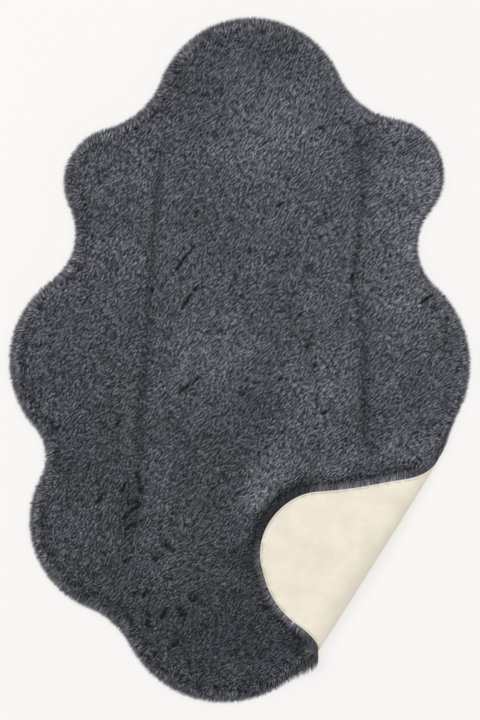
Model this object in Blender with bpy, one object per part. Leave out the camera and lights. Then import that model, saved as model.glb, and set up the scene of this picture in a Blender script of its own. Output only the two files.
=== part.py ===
"""Plush floor rug with a cloud-shaped edge and one corner folded over.

The rug is made as its maker makes it: two cloths cut flat to one outline of
rounded lobes, a deep-pile plush on top and a smooth suede backing below. Both
are modelled flat, with the pile's height above the floor as their z, and then
the corner beyond the fold is rolled up and laid back over the pile.

Metres, +Z up. The long side runs along Y and the backing lies on z = 0.
"""
import math
from collections import namedtuple

import bmesh
import bpy
import numpy as np
from mathutils import Vector, geometry, noise

MODEL_NAME = "cloud_edge_plush_rug"

# The lobes of the cut edge, counter-clockwise from the right-hand side. Each is an
# arc round its centre, and a hollow arc of its valley radius joins it to the next.
# The last three make the lobe that is folded over: its near shoulder, its round end
# and the long, nearly straight flank above it.
Lobe = namedtuple("Lobe", "x y radius valley")
LOBES = (
    Lobe(0.216, -0.007, 0.174, 0.103),
    Lobe(0.257, 0.321, 0.088, 0.137),
    Lobe(0.021, 0.426, 0.157, 0.147),
    Lobe(-0.207, 0.307, 0.087, 0.111),
    Lobe(-0.226, -0.002, 0.162, 0.086),
    Lobe(-0.201, -0.278, 0.152, 0.150),
    Lobe(-0.027, -0.409, 0.173, 0.119),
    Lobe(0.307, -0.393, 0.162, 0.290),
    Lobe(0.333, -0.450, 0.102, 1.249),
    Lobe(-0.519, -0.608, 0.954, 0.220),
)

# Thicknesses
BACKING_THICKNESS = 0.0015
CLOTH_GAP = 0.0003
PILE_TOP = 0.018
PILE_TOP_ON_FLAP = 0.013
PILE_TOP_UNDER_FLAP = 0.011
PILE_SHARE_OF_ROLL = 0.60
EDGE_SET_IN = 0.001

# The pile's rounded shoulder along the cut edge
SHOULDER_WIDTH = 0.010
SHOULDER_SHARE = 0.86
EDGE_SHARE = 0.56

# The folded corner. The roll's outer side is a straight line, given by the heading
# of its normal and its distance from the origin. The fold runs between two places
# along that line, counted from the foot of the normal.
FOLD_HEADING = math.radians(-32.3)
FOLD_REACH = 0.3825
FOLD_FROM = -0.038
FOLD_TO = 0.385
ROLL_RADIUS_FROM = 0.016
ROLL_RADIUS_MIDDLE = 0.038
ROLL_RADIUS_TO = 0.030
FLAP_REST_HEIGHT = 0.026
FLAP_RUN = 0.150
FLAP_SETTLE_RADIUS = 0.120
PRESSED_MARGIN = 0.035

# Locks of pile round the edge
LOCK_COUNT = 280
LOCK_LENGTH = 0.0112
LOCK_LENGTH_SPREAD = 0.0020
LOCK_LEAN = 0.003
LOCK_SHARE_OF_PITCH = 0.66
LOCK_MIDDLE = 0.55
LOCK_MIDDLE_WIDTH = 0.72
LOCK_MIDDLE_TOP = 0.62
LOCK_TIP_HEIGHT = 0.0009

# Mesh spacing
GRID_ALONG = 0.030
GRID_ACROSS = 0.030
ROLL_ROW = 0.008
ARC_STEP = 0.0005
GRID_EDGE_CLEARANCE = 0.021

# Soft lumps of the pile, one row for each size
Lumps = namedtuple("Lumps", "height size")
LUMPS = (
    Lumps(0.0024, 0.085),
    Lumps(0.0012, 0.040),
)

# Two packing creases that run along the rug. Each is a shallow trough through
# a few places, from its far end to its near end.
CREASE_DEPTH = 0.0035
CREASE_HALF_WIDTH = 0.014
CREASE_FADE = 0.05
Place = namedtuple("Place", "x y")
CREASES = (
    (Place(-0.134, 0.380), Place(-0.148, 0.253), Place(-0.157, 0.128), Place(-0.163, 0.024),
     Place(-0.177, -0.110), Place(-0.177, -0.246)),
    (Place(0.199, 0.400), Place(0.212, 0.294), Place(0.195, 0.128), Place(0.214, 0.024),
     Place(0.212, -0.121), Place(0.222, -0.163)),
)

PLUSH_COLOR = (0.082, 0.084, 0.098, 1.0)
SUEDE_COLOR = (0.84, 0.79, 0.68, 1.0)


# ---------------------------------------------------------------- outline

def valley_centre(first, second):
    """Centre of the hollow arc that touches two neighbouring lobes from outside."""
    start = np.array((first.x, first.y))
    span = np.array((second.x, second.y)) - start
    distance = np.hypot(*span)
    to_first = first.radius + first.valley
    to_second = second.radius + first.valley
    along = (distance**2 + to_first**2 - to_second**2) / (2.0 * distance)
    outward = math.sqrt(to_first**2 - along**2)
    unit = span / distance
    return start + along * unit + outward * np.array((unit[1], -unit[0]))


def arc_points(centre, radius, start, end):
    """Points from one angle to another, close enough to read as a true arc."""
    steps = max(2, int(abs(end - start) * radius / ARC_STEP))
    angles = np.linspace(start, end, steps, endpoint=False)
    return centre + radius * np.column_stack((np.cos(angles), np.sin(angles)))


def heading(vector):
    return math.atan2(vector[1], vector[0])


def edge_curve():
    """The whole cut edge, counter-clockwise, at very close spacing."""
    count = len(LOBES)
    centres = [np.array((lobe.x, lobe.y)) for lobe in LOBES]
    valleys = [valley_centre(LOBES[i], LOBES[(i + 1) % count]) for i in range(count)]
    pieces = []
    for i, lobe in enumerate(LOBES):
        start = heading(valleys[i - 1] - centres[i])
        end = heading(valleys[i] - centres[i])
        end += 2.0 * math.pi * (end < start)
        pieces.append(arc_points(centres[i], lobe.radius, start, end))
        start = heading(centres[i] - valleys[i])
        end = heading(centres[(i + 1) % count] - valleys[i])
        end -= 2.0 * math.pi * (end > start)
        pieces.append(arc_points(valleys[i], lobe.valley, start, end))
    return np.concatenate(pieces)


def lock_roots(curve, count):
    """Points along the closed curve, two to a lock: where its root starts and ends."""
    closed = np.vstack((curve, curve[:1]))
    lengths = np.hypot(*np.diff(closed, axis=0).T)
    travelled = np.concatenate(([0.0], np.cumsum(lengths)))
    starts = np.linspace(0.0, travelled[-1], count, endpoint=False)
    ends = starts + LOCK_SHARE_OF_PITCH * travelled[-1] / count
    stops = np.column_stack((starts, ends)).ravel()
    return np.column_stack([np.interp(stops, travelled, closed[:, k]) for k in (0, 1)])


def inward_normals(points):
    """Unit normals that point into the rug, at points along its edge."""
    tangents = np.roll(points, -1, axis=0) - np.roll(points, 1, axis=0)
    tangents /= np.hypot(*tangents.T)[:, None]
    return np.column_stack((-tangents[:, 1], tangents[:, 0]))


def depth_inside(points, edge):
    """Distance from each point to the edge, positive inside the rug."""
    ends = np.roll(edge, -1, axis=0)
    along = ends - edge
    offset = points[:, None, :] - edge[None, :, :]
    share = np.einsum("pek,ek->pe", offset, along) / np.einsum("ek,ek->e", along, along)
    nearest = offset - np.clip(share, 0.0, 1.0)[:, :, None] * along[None, :, :]
    distance = np.hypot(nearest[:, :, 0], nearest[:, :, 1])
    crosses = (edge[None, :, 1] > points[:, None, 1]) != (ends[None, :, 1] > points[:, None, 1])
    slope = along[:, 0] / np.where(along[:, 1] == 0.0, 1.0, along[:, 1])
    meets = edge[None, :, 0] + slope * (points[:, None, 1] - edge[None, :, 1])
    inside = (crosses & (points[:, None, 0] < meets)).sum(axis=1) % 2 == 1
    return np.where(inside, 1.0, -1.0) * distance.min(axis=1)


# ------------------------------------------------------------------- fold

NORMAL = np.array((math.cos(FOLD_HEADING), math.sin(FOLD_HEADING)))
ALONG = np.array((NORMAL[1], -NORMAL[0]))


def smooth_step(value, low, high):
    share = np.clip((value - low) / (high - low), 0.0, 1.0)
    return share * share * (3.0 - 2.0 * share)


def roll_radius(along):
    """Outer radius of the roll: fullest half way, tight where it leaves the edge."""
    share = np.clip((along - FOLD_FROM) / (FOLD_TO - FOLD_FROM), 0.0, 1.0)
    ends = ROLL_RADIUS_FROM + (ROLL_RADIUS_TO - ROLL_RADIUS_FROM) * share
    return ends + (ROLL_RADIUS_MIDDLE - ends) * np.sin(math.pi * share)


def flap_slope(along):
    """Angle at which the flap comes down from the roll to the pile."""
    return (2.0 * roll_radius(along) - FLAP_REST_HEIGHT) / FLAP_RUN


def fold_section(along, across):
    """Place and heading of the backing's outer face in the plane of one section.

    across is the distance along the cloth. The face runs level to the roll, round
    it, down the flap's slope, through a hollow bend, and on at the rest height.
    """
    radius = roll_radius(along)
    slope = flap_slope(along)
    roll_start = FOLD_REACH - radius
    turned = math.pi + slope
    drop = radius * (1.0 + np.cos(slope)) - FLAP_REST_HEIGHT
    straight = (drop - FLAP_SETTLE_RADIUS * (1.0 - np.cos(slope))) / np.sin(slope)

    travel = across - roll_start
    on_roll = np.clip(travel / radius, 0.0, turned)
    on_slope = np.clip(travel - radius * turned, 0.0, straight)
    on_settle = np.clip((travel - radius * turned - straight) / FLAP_SETTLE_RADIUS, 0.0, slope)
    before = np.minimum(travel, 0.0)
    after = np.maximum(travel - radius * turned - straight - FLAP_SETTLE_RADIUS * slope, 0.0)

    settle_x = FLAP_SETTLE_RADIUS * (np.sin(slope) - np.sin(slope - on_settle))
    settle_z = FLAP_SETTLE_RADIUS * (np.cos(slope - on_settle) - np.cos(slope))
    x = roll_start + before + radius * np.sin(on_roll)
    x = x - on_slope * np.cos(slope) - settle_x - after
    z = radius * (1.0 - np.cos(on_roll)) - on_slope * np.sin(slope) - settle_z
    return x, z, on_roll - on_settle


def fold_over(points):
    """Flat points, with z as the height over the floor, placed on the folded rug."""
    along = points[:, :2] @ ALONG
    across = points[:, :2] @ NORMAL
    x, z, turned = fold_section(along, across)
    x = x - points[:, 2] * np.sin(turned)
    z = z + points[:, 2] * np.cos(turned)
    return np.column_stack((np.outer(along, ALONG) + np.outer(x, NORMAL), z))


def flap_point_above(points):
    """The flat place on the flap that comes to lie over each place of the rug."""
    along = points @ ALONG
    radius = roll_radius(along)
    slope = flap_slope(along)
    roll_end_x = FOLD_REACH - radius * (1.0 + np.sin(slope))
    roll_end = FOLD_REACH - radius + radius * (math.pi + slope)
    across = roll_end + (roll_end_x - points @ NORMAL) / np.cos(slope)
    return np.outer(along, ALONG) + np.outer(across, NORMAL)


# ------------------------------------------------------------------- pile

def crease_depth(points):
    """Depth of the packing creases under each point."""
    depth = np.zeros(len(points))
    x, y = points.T
    for crease in CREASES:
        near, far = crease[-1], crease[0]
        upwards = crease[::-1]
        centre = np.interp(y, [place.y for place in upwards], [place.x for place in upwards])
        trough = np.exp(-(((x - centre) / CREASE_HALF_WIDTH) ** 2))
        begins = smooth_step(y, near.y - CREASE_FADE, near.y + CREASE_FADE)
        ends = smooth_step(y, far.y - CREASE_FADE, far.y + CREASE_FADE)
        depth += CREASE_DEPTH * trough * begins * (1.0 - ends)
    return depth


def lump_height(points):
    """Low, soft unevenness of the pile."""
    heights = np.zeros(len(points))
    for level, lumps in enumerate(LUMPS):
        places = [Vector((x / lumps.size, y / lumps.size, level)) for x, y in points]
        heights += lumps.height * np.array([noise.noise(place) for place in places])
    return heights


def pile_top(points, edge):
    """Height of the pile over the outer face of the backing."""
    along = points @ ALONG
    across = points @ NORMAL
    radius = roll_radius(along)
    roll_start = FOLD_REACH - radius
    roll_end = roll_start + radius * (math.pi + flap_slope(along))
    margin = 0.5 * radius
    on_roll = smooth_step(across, roll_start - margin, roll_start + margin)
    on_flap = smooth_step(across, roll_end - margin, roll_end + margin)
    pressed = smooth_step(depth_inside(flap_point_above(points), edge), -PRESSED_MARGIN, 0.0)
    pressed *= 1.0 - on_roll

    height = PILE_TOP + (PILE_TOP_UNDER_FLAP - PILE_TOP) * pressed
    in_roll = np.minimum(PILE_TOP, PILE_SHARE_OF_ROLL * radius)
    height = height + (in_roll - height) * on_roll
    height = height + (PILE_TOP_ON_FLAP - height) * on_flap
    relief = lump_height(points) - crease_depth(points)
    return height + relief * (1.0 - pressed) * (1.0 - on_roll)


# ----------------------------------------------------------------- meshes

def flat_layout():
    """The rug's flat plan as triangles: edge points first, then the shoulder ring."""
    edge = lock_roots(edge_curve(), LOCK_COUNT)
    ring = edge[::2] + SHOULDER_WIDTH * inward_normals(edge)[::2]
    along = edge @ ALONG
    across = edge @ NORMAL
    widest_roll = math.pi * ROLL_RADIUS_MIDDLE
    rows = np.concatenate((
        np.arange(FOLD_REACH - ROLL_RADIUS_MIDDLE - ROLL_ROW, across.min(), -GRID_ACROSS),
        np.arange(FOLD_REACH - ROLL_RADIUS_MIDDLE, FOLD_REACH + widest_roll, ROLL_ROW),
        np.arange(FOLD_REACH + widest_roll + ROLL_ROW, across.max(), GRID_ACROSS),
    ))
    columns = np.arange(along.min(), along.max(), GRID_ALONG)
    grid = np.array([column * ALONG + row * NORMAL for row in rows for column in columns])
    grid = grid[depth_inside(grid, edge) > GRID_EDGE_CLEARANCE]
    points = [Vector(point) for point in np.vstack((edge, ring, grid))]
    inside_only = 1
    found = geometry.delaunay_2d_cdt(points, [], [range(len(edge))], inside_only, 1e-6)
    return edge, np.array([tuple(point) for point in found[0]]), found[2]


def slab_mesh(layout, low, high):
    """A closed slab on the flat plan, between two heights, its edge points marked."""
    edge, points, triangles = layout
    bm = bmesh.new()
    place = bm.verts.layers.int.new("place")
    for number, (point, height) in enumerate(zip(points, low)):
        vert = bm.verts.new((*point, height))
        vert[place] = number
    bm.verts.ensure_lookup_table()
    for triangle in triangles:
        bm.faces.new([bm.verts[k] for k in triangle])
    bmesh.ops.recalc_face_normals(bm, faces=bm.faces)
    raised = bmesh.ops.extrude_face_region(bm, geom=bm.faces[:])
    for item in raised["geom"]:
        if isinstance(item, bmesh.types.BMVert):
            item.co.z = high[item[place]]
    bmesh.ops.recalc_face_normals(bm, faces=bm.faces)
    return bm


def add_locks(bm, edge_count):
    """Every second wall face round the edge grows a bent, four-sided lock."""
    place = bm.verts.layers.int["place"]
    walls = []
    for face in bm.faces:
        numbers = sorted({vert[place] for vert in face.verts})
        if len(face.verts) == 4 and numbers[1] - numbers[0] == 1 and numbers[0] % 2 == 0:
            walls.append((numbers[0], face))
    walls.sort(key=lambda wall: wall[0])
    random = np.random.default_rng(11)
    for _, face in walls:
        outward = face.normal.copy()
        outward.z = 0.0
        outward.normalize()
        sideways = Vector((-outward.y, outward.x, 0.0))
        length = LOCK_LENGTH + LOCK_LENGTH_SPREAD * random.uniform(-1.0, 1.0)
        lean = LOCK_LEAN * random.uniform(-1.0, 1.0)
        middle = bmesh.ops.extrude_discrete_faces(bm, faces=[face])["faces"][0]
        centre = middle.calc_center_median()
        lowest = min(vert.co.z for vert in middle.verts)
        for vert in middle.verts:
            away = (vert.co - centre).dot(sideways)
            vert.co -= sideways * away * (1.0 - LOCK_MIDDLE_WIDTH)
            vert.co += outward * length * LOCK_MIDDLE + sideways * lean * LOCK_MIDDLE
            is_low = vert.co.z - lowest < CLOTH_GAP
            vert.co.z = 0.0 if is_low else vert.co.z * LOCK_MIDDLE_TOP
        tip = bmesh.ops.poke(bm, faces=[middle])["verts"][0]
        tip.co = centre + outward * length + sideways * lean
        tip.co.z = LOCK_TIP_HEIGHT


def finish_object(bm, name, material, collection):
    """Fold the flat mesh over and link it as one of the rug's objects."""
    bmesh.ops.triangulate(bm, faces=bm.faces)
    flat = np.array([tuple(vert.co) for vert in bm.verts])
    for vert, position in zip(bm.verts, fold_over(flat)):
        vert.co = position
    mesh = bpy.data.meshes.new(name)
    bm.to_mesh(mesh)
    bm.free()
    mesh.shade_smooth()
    mesh.set_sharp_from_angle(angle=math.radians(50.0))
    mesh.materials.append(material)
    piece = bpy.data.objects.new(name, mesh)
    collection.objects.link(piece)
    return piece


def make_backing(layout, collection):
    """The suede sheet, cut a little inside the plush."""
    edge, points, triangles = layout
    inset = points.copy()
    inset[:len(edge)] += EDGE_SET_IN * inward_normals(edge)
    low = np.zeros(len(points))
    high = np.full(len(points), BACKING_THICKNESS)
    bm = slab_mesh((edge, inset, triangles), low, high)
    return finish_object(bm, "backing", principled("suede", SUEDE_COLOR, 0.92), collection)


def make_fur(layout, collection):
    """The plush: its base cloth and pile as one lumpy slab with locks at the rim."""
    edge, points, _ = layout
    low = np.full(len(points), BACKING_THICKNESS + CLOTH_GAP)
    high = pile_top(points, edge)
    ring = slice(len(edge), len(edge) + LOCK_COUNT)
    high[:len(edge)] *= EDGE_SHARE
    high[ring] *= SHOULDER_SHARE
    bm = slab_mesh(layout, low, high)
    add_locks(bm, len(edge))
    return finish_object(bm, "fur", principled("plush", PLUSH_COLOR, 0.95), collection)


def principled(name, color, roughness):
    material = bpy.data.materials.new(name)
    material.use_nodes = True
    shader = material.node_tree.nodes["Principled BSDF"]
    shader.inputs["Base Color"].default_value = color
    shader.inputs["Roughness"].default_value = roughness
    shader.inputs["Metallic"].default_value = 0.0
    return material


def centre_on_origin(pieces):
    """Shift the rug so that the middle of its bounding box stands over the origin."""
    corners = np.array([vert.co[:] for piece in pieces for vert in piece.data.vertices])
    middle = 0.5 * (corners.min(axis=0) + corners.max(axis=0))
    for piece in pieces:
        for vert in piece.data.vertices:
            vert.co.x -= middle[0]
            vert.co.y -= middle[1]


def main():
    for old in list(bpy.data.objects):
        bpy.data.objects.remove(old)
    collection = bpy.data.collections.new(MODEL_NAME)
    bpy.context.scene.collection.children.link(collection)
    layout = flat_layout()
    pieces = [make_backing(layout, collection), make_fur(layout, collection)]
    centre_on_origin(pieces)


main()
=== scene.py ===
"""Dresses the cloud-edged plush rug: its suede backing, topstitch, undercoat and pile.

Everything is laid out flat, as the cloth is cut, with z as the height over the
backing's outer face. The corner beyond the fold is then rolled up and laid back,
by the same sizes as the rug's own solids. Metres, +Z up.
"""
import math
from collections import namedtuple

import bmesh
import bpy
import numpy as np
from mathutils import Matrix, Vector, noise


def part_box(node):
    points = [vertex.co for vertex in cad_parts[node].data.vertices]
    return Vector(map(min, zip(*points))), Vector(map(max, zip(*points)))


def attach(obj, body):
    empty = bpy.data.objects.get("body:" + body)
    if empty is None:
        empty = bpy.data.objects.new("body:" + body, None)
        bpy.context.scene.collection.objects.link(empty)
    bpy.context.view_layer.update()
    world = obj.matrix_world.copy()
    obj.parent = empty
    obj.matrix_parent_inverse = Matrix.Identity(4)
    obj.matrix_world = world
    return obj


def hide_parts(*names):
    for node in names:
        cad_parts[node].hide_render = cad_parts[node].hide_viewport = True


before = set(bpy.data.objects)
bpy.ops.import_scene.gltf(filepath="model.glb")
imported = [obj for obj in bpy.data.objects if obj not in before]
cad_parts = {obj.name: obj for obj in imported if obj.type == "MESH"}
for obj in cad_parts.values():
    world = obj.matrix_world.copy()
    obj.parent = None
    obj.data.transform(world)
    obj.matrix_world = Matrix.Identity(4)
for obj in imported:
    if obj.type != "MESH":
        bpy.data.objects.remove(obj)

bl_info = {
    "name": "Cloud Edge Plush Rug",
    "version": (1, 0, 0),
    "blender": (4, 5, 0),
    "location": "3D View > Sidebar > Plush Rug",
    "description": "Dresses a plush floor rug: pile, suede backing, topstitch and a studio floor",
    "category": "Object",
}

TURN = 2.0 * math.pi

# The least and the most of a random draw, or of a soft rise
Spread = namedtuple("Spread", "low high")

# Smooth noise: how broad its lumps are, and the layer it is read from, so that no two
# uses of it look alike
Wave = namedtuple("Wave", "size layer")


def table(fields, *rows):
    """Rows of numbers that are read by name."""
    kind = namedtuple("Row", fields)
    return [kind(*row) for row in rows]


# The lobes of the cut edge, counter-clockwise from the right-hand side. Each is an
# arc round its centre, and a hollow arc of its valley radius joins it to the next.
# The last three make the lobe that is folded over: its near shoulder, its round end
# and the long, nearly straight flank above it.
LOBES = table(
    "x y radius valley",
    (0.216, -0.007, 0.174, 0.103),
    (0.257, 0.321, 0.088, 0.137),
    (0.021, 0.426, 0.157, 0.147),
    (-0.207, 0.307, 0.087, 0.111),
    (-0.226, -0.002, 0.162, 0.086),
    (-0.201, -0.278, 0.152, 0.150),
    (-0.027, -0.409, 0.173, 0.119),
    (0.307, -0.393, 0.162, 0.290),
    (0.333, -0.450, 0.102, 1.249),
    (-0.519, -0.608, 0.954, 0.220),
)
ARC_SLIP = 1e-5

# Thicknesses and heights, each over the outer face of the backing
BACKING_THICKNESS = 0.0015
PILE_TOP = 0.018
PILE_TOP_ON_FLAP = 0.013
PILE_TOP_UNDER_FLAP = 0.011
PILE_SHARE_OF_ROLL = 0.60
EDGE_SET_IN = 0.001

# The folded corner, by the same sizes as the solids
FOLD_HEADING = math.radians(-32.3)
FOLD_REACH = 0.3825
FOLD_FROM = -0.038
FOLD_TO = 0.385
ROLL_RADIUS_FROM = 0.016
ROLL_RADIUS_MIDDLE = 0.038
ROLL_RADIUS_TO = 0.030
FLAP_REST_HEIGHT = 0.026
FLAP_RUN = 0.150
FLAP_SETTLE_RADIUS = 0.120
PRESSED_MARGIN = 0.035
NORMAL = np.array((math.cos(FOLD_HEADING), math.sin(FOLD_HEADING)))
ALONG = np.array((NORMAL[1], -NORMAL[0]))

# Soft lumps of the pile, one row for each size
LUMPS = table(
    "height size",
    (0.0024, 0.085),
    (0.0012, 0.040),
)

# Two packing creases that run along the rug, each from its far end to its near end
CREASE_DEPTH = 0.0035
CREASE_HALF_WIDTH = 0.014
CREASE_FADE = 0.05
CREASES = (
    table(
        "x y", (-0.134, 0.380), (-0.148, 0.253), (-0.157, 0.128), (-0.163, 0.024),
        (-0.177, -0.110), (-0.177, -0.246)),
    table(
        "x y", (0.199, 0.400), (0.212, 0.294), (0.195, 0.128), (0.214, 0.024),
        (0.212, -0.121), (0.222, -0.163)),
)

# Cloth meshes: the spacing of the outline and of the grid inside it, and the height
# that marks the upper face until it gets its own
OUTLINE_STEP = 0.004
GRID_STEP = 0.012
ROLL_STEP = 0.003
WELD = 1e-5
UPPER_MARK = 1.0

# The rolled rim of the backing, by the distance from its own edge: how far the
# outer face stands in, with the rounded edge first and then the stitched groove
RIM = table(
    "depth height",
    (0.0, 0.0006),
    (0.0004, 0.0002),
    (0.0011, 0.0),
    (0.0022, 0.0),
    (0.0027, 0.0002),
    (0.0032, 0.0004),
    (0.0037, 0.0002),
    (0.0042, 0.0),
    (0.0060, 0.0),
)
RIM_INNER_HEIGHT = 0.0010

# The undercoat's section at the edge, by the distance inside the cut edge: its
# underside's height, and its top as a share of the pile's height
COAT = table(
    "depth low share",
    (-0.0012, 0.0036, 0.30),
    (-0.0004, 0.0026, 0.36),
    (0.0010, 0.0018, 0.42),
    (0.0060, 0.0018, 0.52),
    (0.0140, 0.0018, 0.58),
)

# The pile's own height towards the edge, as a share of its full height
PILE_AT_EDGE = table(
    "depth share",
    (0.0, 0.56),
    (0.010, 0.86),
    (0.021, 1.0),
)

# Strands that clothe the side of the pile all round the rug, from the lowest row up: how far inside
# the cut edge they stand, the height of their roots and of their tips, how far the tips reach out
# of the cut edge, and how pale they are from the root, which is the share of the painted root shade
# taken away
RIM_ROWS = table(
    "depth root tip reach pale",
    (0.0010, 0.0019, 0.0012, 0.0072, 0.60),
    (0.0008, 0.0021, 0.0014, 0.0096, 0.60),
    (0.0002, 0.0026, 0.0018, 0.0115, 0.50),
    (-0.0006, 0.0034, 0.0034, 0.0126, 0.25),
    (-0.0008, 0.0042, 0.0052, 0.0116, 0.15),
    (-0.0008, 0.0050, 0.0072, 0.0098, 0.10),
    (-0.0004, 0.0055, 0.0092, 0.0076, 0.10),
    (0.0004, 0.0060, 0.0110, 0.0052, 0.10),
)
RIM_PITCH = 0.0014
RIM_PLACE_STRAY = 0.0004
RIM_TIP_STRAY = 0.0006
RIM_WIDTH = Spread(0.98, 1.54)
RIM_REACH = Spread(0.90, 1.05)
RIM_REACH_WAVE = Wave(0.006, 30)
RIM_UNEVENNESS = 0.20
RIM_TONE = -0.50

# The strands of the side stand in small tufts, which swing to either side and are
# paler or darker
RIM_TUFT_WAVE = Wave(0.007, 20)
RIM_TUFT_SWING = 0.5
RIM_TUFT_SHADE = 0.65

# On the flap the fringe is painted pale where it faces down the rug and painted dark where it faces
# up and lies on the pile, as painted light and shade, with a band of painted shadow on the pile
# beside the dark part
BAND_HEADING = math.radians(138.0)
FACING_FOR_PALE = Spread(-0.10, 0.80)
FACING_FOR_DARK = Spread(0.68, 0.97)
BAND_REACH = Spread(0.015, 0.029)
FLAP_SHADOW_SHADE = 1.00
BAND_LEAST = 0.30
FLAP_RIM_PAINTED_LIGHT = 0.42
FLAP_RIM_PAINTED_SHADE = 1.70
FLAP_LIES = Spread(0.045, 0.105)
# Painted shade on the side strands along the roll
ROLL_RIM_PAINTED_SHADE = 0.35

# The fringe stands fuller at the lower end of the fold, where both layers meet
FOLD_TIP_ALONG = 0.350
FOLD_TIP_ACROSS = 0.395
FOLD_TIP_SPREAD = 0.062
FOLD_TIP_FULLNESS = 0.80
FOLD_TIP_LEAN = 0.95

# How far inside the edge strands lean outwards, how unevenly, how much they keep to the line of the
# lay, and how pale they are from the root, which is the share of the painted root shade taken away
SPLAY_DEPTH = 0.020
SPLAY_UNEVENNESS = 0.010
SPLAY_WAVE = Wave(0.020, 4)
LAY_HELD = 0.8
LAY_TURN = 3.0
EDGE_PALE = 0.30
EDGE_REACH = Spread(0.0045, 0.0095)

# Places where the pile is parted: the strands are pushed aside and lowered so that the dark
# undercoat shows, and are painted dark as shade. The heading is in degrees from the X axis, and
# width is how far the strands to each side are pushed.
PARTINGS = table(
    "x y heading length width",
    (-0.290, 0.142, 55, 0.014, 0.0028),
    (-0.266, 0.133, 20, 0.010, 0.0023),
    (-0.344, 0.023, 8, 0.016, 0.0026),
    (-0.153, 0.118, 30, 0.012, 0.0026),
    (-0.097, 0.173, 55, 0.046, 0.0026),
    (-0.087, 0.107, 54, 0.055, 0.0027),
    (-0.092, -0.048, 38, 0.056, 0.0027),
    (-0.314, -0.118, 40, 0.016, 0.0030),
    (-0.212, -0.111, 50, 0.014, 0.0027),
    (0.193, 0.142, 60, 0.012, 0.0026),
    (0.101, 0.073, 40, 0.012, 0.0026),
    (0.115, 0.022, 35, 0.014, 0.0026),
    (0.127, -0.012, 30, 0.014, 0.0028),
    (0.153, -0.012, 50, 0.010, 0.0026),
    (0.068, -0.035, 45, 0.012, 0.0026),
    (0.144, -0.093, 30, 0.014, 0.0027),
    (0.319, 0.102, 35, 0.030, 0.0022),
    (0.042, 0.372, 40, 0.012, 0.0026),
    (0.279, 0.277, 45, 0.012, 0.0023),
    (0.067, 0.265, 35, 0.016, 0.0027),
    (0.156, 0.401, 11, 0.070, 0.0015),
    (-0.174, -0.216, 101, 0.045, 0.0034),
    (-0.202, -0.222, 55, 0.024, 0.0026),
    (-0.244, -0.243, 42, 0.018, 0.0032),
    (-0.185, -0.247, 15, 0.026, 0.0036),
    (-0.185, -0.259, 30, 0.026, 0.0038),
    (-0.199, -0.275, 50, 0.016, 0.0030),
    (-0.188, -0.288, 27, 0.034, 0.0038),
    (-0.122, -0.326, 130, 0.024, 0.0042),
    (-0.149, -0.344, 165, 0.016, 0.0030),
    (-0.197, -0.347, 40, 0.015, 0.0030),
    (-0.125, -0.380, 170, 0.015, 0.0030),
    (-0.180, -0.400, 55, 0.016, 0.0030),
    (-0.166, -0.405, 65, 0.014, 0.0030),
    (-0.083, -0.411, 120, 0.018, 0.0040),
    (-0.100, -0.440, 103, 0.028, 0.0040),
    (-0.132, -0.440, 58, 0.022, 0.0040),
    (-0.159, -0.450, 92, 0.034, 0.0036),
    (-0.113, -0.493, 40, 0.016, 0.0028),
    (-0.146, -0.507, 55, 0.016, 0.0028),
)

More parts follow.
